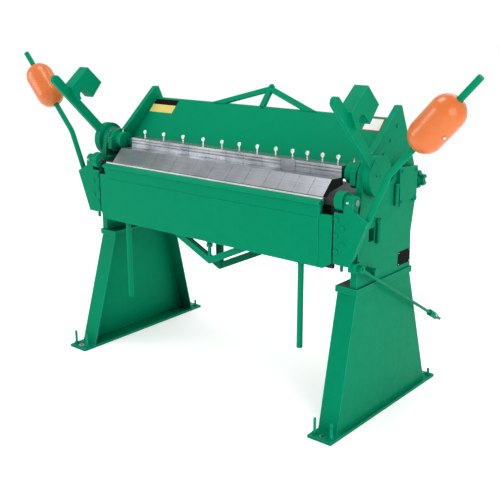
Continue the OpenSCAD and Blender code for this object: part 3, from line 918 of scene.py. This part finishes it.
@dataclass
class Wing:
    """A wing of the bending leaf, its balance rod and weight."""

    side: Side
    foot: tuple[float, float] = (0.754, 0.718)
    bend: tuple[float, float] = (0.8976, 1.060)
    depth: float = -0.252
    lean: tuple[float, float] = (0.667, 0.745)
    reach: float = 0.493
    radius: float = 0.0125
    elbow: float = 0.11
    belly: float = 0.067
    half: float = 0.121

    def build(self) -> None:
        """Builds and dresses the wing."""
        node = f"wing_{self.side.word}"
        dress(node, Finish.GREEN, 0.0025)
        self._rod()
        self._weight()
        s = self.side.value
        seat = Vector((s * 0.746, HINGE.y - 0.0255, HINGE.z + 0.0015))
        nipple(f"wing_nipple_{self.side.word}", "bending", seat, Vector((0, -1, 0.1)).normalized())
        peg = [(0, 0), (0.005, 0), (0.007, 0.002), (0.007, 0.034), (0, 0.034)]
        foot = Vector((s * 0.712, -0.259, 0.658))
        stub = Shape(f"wing_peg_{self.side.word}").turned(peg, foot, Axis.Z.unit, 28)
        stub.done("bending", Finish.GREEN)

    def _rod(self) -> None:
        """Builds the balance rod with a smooth bend."""
        s = self.side.value
        foot, knee = Vector(self.foot), Vector(self.bend)
        run = (knee - foot).length
        low = math.atan2(knee.x - foot.x, knee.y - foot.y)
        high = math.atan2(*self.lean)
        turn = high - low
        cut = self.elbow * math.tan(turn / 2)
        start = Matrix.Translation((foot.x, self.depth, foot.y)) @ Matrix.Rotation(low, 4, "Y")
        shape = Shape(f"balance_rod_{self.side.word}_shown")
        shape.swept(self.radius, start, run - cut, turn, self.elbow, self.reach - cut)
        if s < 0:
            bmesh.ops.scale(shape.bm, vec=(-1, 1, 1), verts=shape.bm.verts)
            bmesh.ops.reverse_faces(shape.bm, faces=shape.bm.faces)
        node = f"balance_rod_{self.side.word}"
        shape.done("bending", Finish.GREEN_PLAIN, "green_paint", (node,))

    def _weight(self) -> None:
        """Builds the balance weight with its set screw."""
        s = self.side.value
        node = f"weight_{self.side.word}"
        lo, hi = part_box(node)
        mid = (lo + hi) / 2
        along = Vector((s * self.lean[0], 0, self.lean[1])).normalized()
        r, half, bore = self.belly, self.half, 0.0129
        arc = [(math.sin(a) * r, -half + r - math.cos(a) * r) for a in
               [math.radians(t) for t in range(14, 91, 6)]]
        profile = [(bore, -half + 0.012), (bore + 0.001, arc[0][1] + 0.0005)] + arc
        profile += [(x, -z) for x, z in reversed(arc)]
        profile += [(bore + 0.001, -arc[0][1] - 0.0005), (bore, half - 0.012)]
        profile.append(profile[0])
        shape = Shape(node + "_shown").turned(profile, mid, along, 72)
        shape.done(f"counterweight_{self.side.word}", Finish.ORANGE, "orange_paint", (node,), 50.0)
        screw = Shape(f"weight_screw_{self.side.word}")
        out = Vector((s * self.lean[1], -0.5, -self.lean[0])).normalized()
        screw.hexagon(mid + along * 0.002 + out * (r - 0.001), out, 0.013, 0.005)
        screw.done(f"counterweight_{self.side.word}", Finish.ZINC, "bright_steel")


@dataclass
class WingBolts:
    """The five staggered bolts through each wing."""

    count: int = 5
    rows: tuple[float, float] = (0.6926, 0.7216)
    pitch: float = 0.032
    head: float = 0.0105
    wing_t: float = 0.038

    def build(self) -> None:
        """Builds the bolts with their domed heads and nuts."""
        lo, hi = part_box("wing_bolts")
        shape = Shape("wing_bolts_shown")
        back = Axis.Y.unit
        for s in (-1, 1):
            for i in range(self.count):
                x = self.rows[i % 2]
                z = hi.z - 0.011 - self.pitch * i
                at = Vector((s * x, lo.y + 0.007, z))
                r = self.head
                dome = [(0, 0), (r, 0), (r, 0.0032), (r * 0.82, 0.0052), (r * 0.45, 0.0064), (0, 0.0068)]
                shape.turned(dome, at, -back, 28)
                shape.hexagon(at + back * self.wing_t, back, 0.0235, 0.0078)
        shape.done("bending", Finish.GREEN, "green_paint", ("wing_bolts",))


@dataclass
class ClampHandle:
    """A clamp handle on its eccentric shaft."""

    side: Side
    pad_over: float = 0.013
    screws: tuple[tuple[float, float, float], ...] = (
        (0.0, 0.0, 0.006), (-0.030, 0.006, 0.005), (0.030, -0.006, 0.005))

    def build(self) -> None:
        """Builds and dresses the handle."""
        s, word = self.side.value, self.side.word
        dress(f"clamp_handle_{word}", Finish.GREEN_PLAIN, 0.004)
        dress(f"clamp_shaft_{word}", Finish.DULL, 0.001)
        hub_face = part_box("clamp_handle_right")[1].x - self.pad_over
        hub = Vector((s * hub_face, SHAFT.y, SHAFT.z))
        screws = Shape(f"hub_screws_{word}")
        for y, z, r in self.screws:
            capped_bolt(screws, hub + Vector((0, y, z)), Vector((s, 0, 0)), r, 0.003)
        screws.done(f"clamp_{word}", Finish.GREEN_PLAIN)


@dataclass
class TopLeaf:
    """The clamping leaf with its ends, truss, finger bar and plain plates."""

    low: tuple[float, float] = (-0.0658, 1.000)
    high: tuple[float, float] = (0.131, 1.211)

    def build(self) -> None:
        """Builds and dresses the top leaf."""
        dress("top_leaf", Finish.GREEN_PLAIN, 0.0015)
        dress("finger_bar", Finish.GREEN, 0.0012)
        for side in Side:
            dress(f"top_leaf_end_{side.word}", Finish.GREEN, 0.0009)
            s = side.value
            seat = Vector((s * 0.668, SHAFT.y, SHAFT.z + 0.0415))
            nipple(f"leaf_nipple_{side.word}", "top", seat, Axis.Z.unit)
            bolts = Shape(f"leaf_end_bolts_{side.word}")
            for t in (0.15, 0.4, 0.65, 0.9):
                y = self.low[0] + (self.high[0] - self.low[0]) * t + 0.006
                z = self.low[1] + (self.high[1] - self.low[1]) * t - 0.006
                bolts.hexagon(Vector((s * (LEAF_OUT - 0.0001), y, z)), Vector((s, 0, 0)), 0.016, 0.005)
            bolts.done("top", Finish.GREEN)
        self._plate("instruction_plate", (-0.680, -0.525), (1.146, 1.180), Finish.YELLOW)
        self._plate("instruction_header", (-0.680, -0.525), (1.180, 1.204), Finish.INK)
        self._plate("notice_border", (0.566, 0.650), (1.160, 1.206), Finish.RED)
        self._plate("notice_plate", (0.5685, 0.6475), (1.1625, 1.2035), Finish.WHITE, 0.0018)
        # A thin black sheet on the leaf end, painted as the shadow inside a slot.
        Shape("leaf_end_slot").block((0.7136, -0.029, 1.0635), (0.7144, 0.021, 1.0705), 0.0003,
                                     self._tilt(Vector((0.714, -0.004, 1.067)), 11.0)).done("top", Finish.INK)
        shape = Shape("top_truss_nut")
        up = Vector((0, math.cos(math.radians(51)), math.sin(math.radians(51))))
        foot = Vector((0, 0.135, 1.205)) + up * 0.112 + Vector((0, -0.777, 0.629)) * 0.006
        threaded(shape, foot - up * 0.02, up, 0.008, 0.032, 0.002)
        shape.hexagon(foot - up * 0.004, up, 0.028, 0.011)
        shape.done("top", Finish.GREEN)

    @staticmethod
    def _tilt(about: Vector, degrees: float) -> Matrix:
        """A turn about the X direction through a point.

        Args:
            about: the point that stays put.
            degrees: the turn's angle.

        Returns:
            The transform.
        """
        turn = Matrix.Rotation(math.radians(degrees), 4, "X")
        return Matrix.Translation(about) @ turn @ Matrix.Translation(-about)

    def _plate(self, name: str, x: tuple[float, float], z: tuple[float, float], finish: Finish,
               thick: float = 0.0012) -> None:
        """Adds a plain coloured plate on the sloped front.

        Args:
            name: the plate's name.
            x: its ends.
            z: its lower and upper heights.
            finish: its finish.
            thick: how far it stands off.
        """
        slope = math.atan2(self.high[1] - self.low[1], self.high[0] - self.low[0])
        length = (z[1] - z[0]) / math.sin(slope)
        y = self.low[0] + (z[0] - self.low[1]) / math.tan(slope)
        place = Matrix.Translation((0, y, z[0])) @ Matrix.Rotation(slope, 4, "X")
        Shape(name).block((x[0], 0, 0.0), (x[1], length, thick), 0.0004, place).done("top", finish)


@dataclass
class FingerRow:
    """The twelve fingers and their thumb screws."""

    count: int = 12
    head: float = 0.0095
    plain: tuple[int, ...] = (9,)

    def build(self) -> None:
        """Builds and dresses the fingers."""
        for i in range(1, self.count + 1):
            node = f"finger_{i:02d}"
            dress(node, Finish.GROUND, 0.0018)
            if i in self.plain:
                self._plain_face(node)
            self._screw(i)

    def _plain_face(self, node: str) -> None:
        """Adds the duller face strip of a replaced finger."""
        lo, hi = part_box(node)
        low, high = (lo.x + 0.001, -0.1238, 0.999), (hi.x - 0.001, -0.1228, hi.z - 0.001)
        strip = Shape(node + "_face").block(low, high, 0.0003)
        strip.done(BODY_OF[node], Finish.DULL, "bright_steel")

    def _screw(self, number: int) -> None:
        """Builds one thumb screw with its knurled head."""
        node = f"finger_screw_{number:02d}"
        lo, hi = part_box(node)
        mid = (lo + hi) / 2
        shape = Shape(node + "_shown")
        r = self.head
        centre = Vector((mid.x, mid.y, hi.z - r))
        head = [(0, -0.0015), (r * 0.62, -0.0015), (r * 0.7, -0.0028), (r - 0.0006, -0.0028), (r, -0.0020),
                (r, 0.0020), (r - 0.0006, 0.0028), (r * 0.7, 0.0028), (r * 0.62, 0.0015), (0, 0.0015)]
        shape.turned(head, centre, Axis.Y.unit, 40)
        foot = Vector((mid.x, mid.y, lo.z))
        threaded(shape, foot, Axis.Z.unit, 0.004, centre.z - r * 0.8 - lo.z, 0.00125)
        stem = [(0, 0), (0.0048, 0), (0.0048, 0.012), (0.004, 0.013), (0, 0.013)]
        shape.turned(stem, Vector((mid.x, mid.y, 1.0425)), Axis.Z.unit, 24)
        shape.done(BODY_OF[node], Finish.ZINC, "bright_steel", (node,))


@dataclass
class BendStop:
    """The stop rod and its collar."""

    def build(self) -> None:
        """Builds and dresses the stop."""
        dress("stop_rod", Finish.GREEN, 0.001)
        dress("stop_collar", Finish.GREEN, 0.0015)
        lo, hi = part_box("stop_collar")
        mid = (lo + hi) / 2
        screw = Shape("stop_collar_screw")
        screw.hexagon(mid + Vector((0.0145, 0, 0)), Axis.X.unit, 0.014, 0.008)
        screw.done("bend_stop", Finish.ZINC, "bright_steel")


@dataclass
class Studio:
    """The floor, lights and camera."""

    eye: tuple[float, float, float] = (2.4172, -2.8722, 1.6353)
    tilt: tuple[float, float, float] = (73.988, 0.0, 39.665)
    lens: float = 60.17
    lamps: list[tuple[tuple[float, float, float], float, float]] = field(default_factory=lambda: [
        ((4.2, -2.2, 2.2), 2.6, 84.0), ((-3.8, -3.2, 2.0), 2.4, 66.0),
        ((0.4, 3.4, 3.6), 3.0, 40.0), ((-0.6, -0.4, 4.6), 1.6, 55.0)])

    def build(self) -> None:
        """Builds the studio."""
        self._floor()
        self._lights()
        self._camera()

    def _floor(self) -> None:
        """Lays the pale floor."""
        bm = bmesh.new()
        bmesh.ops.create_grid(bm, x_segments=1, y_segments=1, size=40.0)
        mesh = bpy.data.meshes.new("floor")
        bm.to_mesh(mesh)
        bm.free()
        floor = bpy.data.objects.new("floor", mesh)
        bpy.context.scene.collection.objects.link(floor)
        floor.location.z = -0.0005
        mat, _, shader = blank_material("pale_floor")
        shader.inputs["Base Color"].default_value = (0.95, 0.95, 0.95, 1)
        shader.inputs["Roughness"].default_value = 1.0
        shader.inputs["Specular IOR Level"].default_value = 0.0
        shader.inputs["Emission Color"].default_value = (1, 1, 1, 1)
        shader.inputs["Emission Strength"].default_value = 0.3
        mesh.materials.append(mat)

    def _lights(self) -> None:
        """Hangs the soft lamps and sets the pale surroundings."""
        for i, (at, size, power) in enumerate(self.lamps):
            data = bpy.data.lights.new(f"softbox_{i}", "AREA")
            data.shape, data.size, data.energy = "SQUARE", size, power
            lamp = bpy.data.objects.new(f"softbox_{i}", data)
            lamp.location = at
            lamp.rotation_euler = (Vector((0, 0, 0.8)) - Vector(at)).to_track_quat("-Z", "Y").to_euler()
            bpy.context.scene.collection.objects.link(lamp)
        world = bpy.data.worlds.new("studio")
        bpy.context.scene.world = world
        world.use_nodes = True
        g, sky = Graph(world.node_tree), world.node_tree.nodes["Background"]
        sky.inputs[0].default_value = (1, 1, 1, 1)
        seen = g.add("LightPath").outputs["Is Camera Ray"]
        g.tree.links.new(g.spread(seen, 0.0, 1.0, (0.74, 1.05)), sky.inputs[1])
        bpy.context.scene.view_settings.view_transform = "Standard"

    def _camera(self) -> None:
        """Places the camera."""
        data = bpy.data.cameras.new("camera")
        data.lens, data.sensor_width = self.lens, 36.0
        data.clip_end = 200.0
        cam = bpy.data.objects.new("camera", data)
        cam.location = self.eye
        cam.rotation_euler = [math.radians(a) for a in self.tilt]
        bpy.context.scene.collection.objects.link(cam)
        bpy.context.scene.camera = cam


def main() -> None:
    """Builds the whole machine and its studio."""
    logging.basicConfig(level=logging.INFO, format="%(name)s %(message)s")
    Studio().build()
    for side in Side:
        LegStand(side).build()
        EndFrame(side).build()
        Wing(side).build()
        ClampHandle(side).build()
    LevellingScrews().build()
    Bed().build()
    BendingLeaf().build()
    WingBolts().build()
    TopLeaf().build()
    FingerRow().build()
    BendStop().build()


if __name__ == "__main__":
    main()
